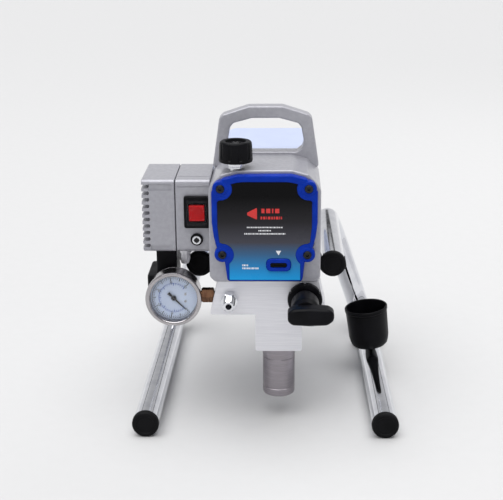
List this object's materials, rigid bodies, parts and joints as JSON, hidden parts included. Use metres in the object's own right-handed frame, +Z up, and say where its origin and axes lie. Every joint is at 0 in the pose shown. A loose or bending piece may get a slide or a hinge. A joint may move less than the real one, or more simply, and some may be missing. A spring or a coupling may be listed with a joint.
{
  "type": "electric airless paint sprayer",
  "caption": "Electric airless paint sprayer on a bent-tube stand: gear housing with carry handle, motor, piston pump, pressure gauge, control box, prime valve and drip cup.",
  "frame": {"origin": "on the floor, in the middle of the whole machine's width and depth", "axes": "+Z up; the operator stands at -Y, facing the blue cover; +X is the side of the prime valve and the drip cup"},
  "size_m": [0.3164, 0.3858, 0.369],
  "materials": {
    "chrome_tube": "bright chrome plating",
    "rubber": "matt black",
    "black_plastic": "fine grained black moulding",
    "cast_housing": "silver grey satin enamel on a casting",
    "blue_cover": "glossy royal blue",
    "printed_panel": "black fading to blue, satin film",
    "black_screw": "black oxide",
    "pump_aluminium": "machined, light brushing",
    "dull_stainless": "dull turned stainless",
    "bright_stainless": "polished stainless",
    "machined_steel": "turned and ground",
    "chromed_steel": "bright plating",
    "packing": "cream packing rings",
    "gear_steel": "cut and oiled",
    "motor_laminations": "varnished laminations",
    "pale_shroud": "pale blue moulding",
    "brass": "dark tarnished brass",
    "clear_lens": "clear",
    "gauge_face": "white enamel dial with printed scale",
    "gauge_needle": "black enamel",
    "circuit_board": "green laminate",
    "red_rocker": "glossy red"
  },
  "bodies": {
    "frame": {"left_leg_tube": "chrome_tube", "right_leg_tube": "chrome_tube", "left_foot_plug": "rubber", "right_foot_plug": "rubber", "left_arm_plug": "rubber", "right_arm_plug": "rubber", "left_arm_clamp": "black_plastic", "right_arm_clamp": "black_plastic", "drip_cup": "black_plastic", "oil_plug": "black_plastic", "valve_base": "black_plastic", "switch_bezel": "black_plastic", "cord_cleat": "black_plastic", "end_bell": "black_plastic", "main_housing": "cast_housing", "control_box": "cast_housing", "heat_sink": "cast_housing", "front_cover": "blue_cover", "front_label": "printed_panel", "cover_screw_1": "black_screw", "cover_screw_2": "black_screw", "cover_screw_3": "black_screw", "cover_screw_4": "black_screw", "pump_block": "pump_aluminium", "cord_gland": "pump_aluminium", "foot_valve": "dull_stainless", "gauge_case": "bright_stainless", "gauge_bezel": "bright_stainless", "inlet_seat": "machined_steel", "cylinder_sleeve": "machined_steel", "packing_nut": "machined_steel", "crank_bearing": "machined_steel", "motor_bearing": "machined_steel", "motor_can": "machined_steel", "outlet_fitting": "chromed_steel", "return_fitting": "chromed_steel", "pressure_regulator": "chromed_steel", "fuse_cap": "chromed_steel", "rod_packing": "packing", "motor_shroud": "pale_shroud", "gauge_adapter": "brass", "gauge_lens": "clear_lens", "gauge_dial": "gauge_face", "circuit_board": "circuit_board"},
    "knob": {"pressure_knob": "black_plastic", "knob_screw": "machined_steel"},
    "prime_valve": {"prime_lever": "black_plastic"},
    "rocker": {"switch_rocker": "red_rocker"},
    "needle": {"gauge_needle": "gauge_needle"},
    "motor_rotor": {"rotor": "motor_laminations", "cooling_fan": "black_plastic"},
    "middle_gear": {"intermediate_gear": "gear_steel"},
    "crank": {"crank_gear": "gear_steel"},
    "piston": {"piston_rod": "chromed_steel", "connecting_rod": "machined_steel", "wrist_pin": "machined_steel", "crank_pin": "machined_steel", "piston_seat": "machined_steel"},
    "outlet_check": {"outlet_ball": "machined_steel"},
    "inlet_check": {"inlet_ball": "machined_steel"}
  },
  "joints": [
    {"name": "knob_turn", "type": "hinge", "parent": "frame", "child": "knob", "pos_m": [-0.03487, -0.11992, 0.33], "axis": [0, 0, 1], "range_deg": [0, 270]},
    {"name": "prime_turn", "type": "hinge", "parent": "frame", "child": "prime_valve", "pos_m": [0.04363, -0.16992, 0.159], "axis": [0, 1, 0], "range_deg": [0, 90]},
    {"name": "rocker_press", "type": "hinge", "parent": "frame", "child": "rocker", "pos_m": [-0.08197, -0.09392, 0.2538], "axis": [1, 0, 0], "range_deg": [-18, 0]},
    {"name": "needle_sweep", "type": "hinge", "parent": "frame", "child": "needle", "pos_m": [-0.11007, -0.11542, 0.1535], "axis": [0, 1, 0], "range_deg": [0, 270], "stiffness_Nm_per_rad": 0.001},
    {"name": "rotor_spin", "type": "hinge", "parent": "frame", "child": "motor_rotor", "pos_m": [-0.00237, 0.03008, 0.258], "axis": [0, 1, 0], "continuous": true},
    {"name": "middle_gear_spin", "type": "hinge", "parent": "frame", "child": "middle_gear", "pos_m": [-0.02336, -0.07192, 0.23656], "axis": [0, 1, 0], "continuous": true},
    {"name": "crank_spin", "type": "hinge", "parent": "frame", "child": "crank", "pos_m": [0.01323, -0.08192, 0.24], "axis": [0, 1, 0], "continuous": true},
    {"name": "piston_stroke", "type": "slide", "parent": "frame", "child": "piston", "axis": [0, 0, 1], "range_m": [-0.024, 0]},
    {"name": "outlet_ball_lift", "type": "slide", "parent": "piston", "child": "outlet_check", "axis": [0, 0, 1], "range_m": [0, 0.002]},
    {"name": "inlet_ball_lift", "type": "slide", "parent": "frame", "child": "inlet_check", "axis": [0, 0, 1], "range_m": [0, 0.0035]}
  ],
  "couplings": [
    {"joint": "middle_gear_spin", "follows": "rotor_spin", "ratio": -0.33333},
    {"joint": "crank_spin", "follows": "rotor_spin", "ratio": 0.12037}
  ]
}
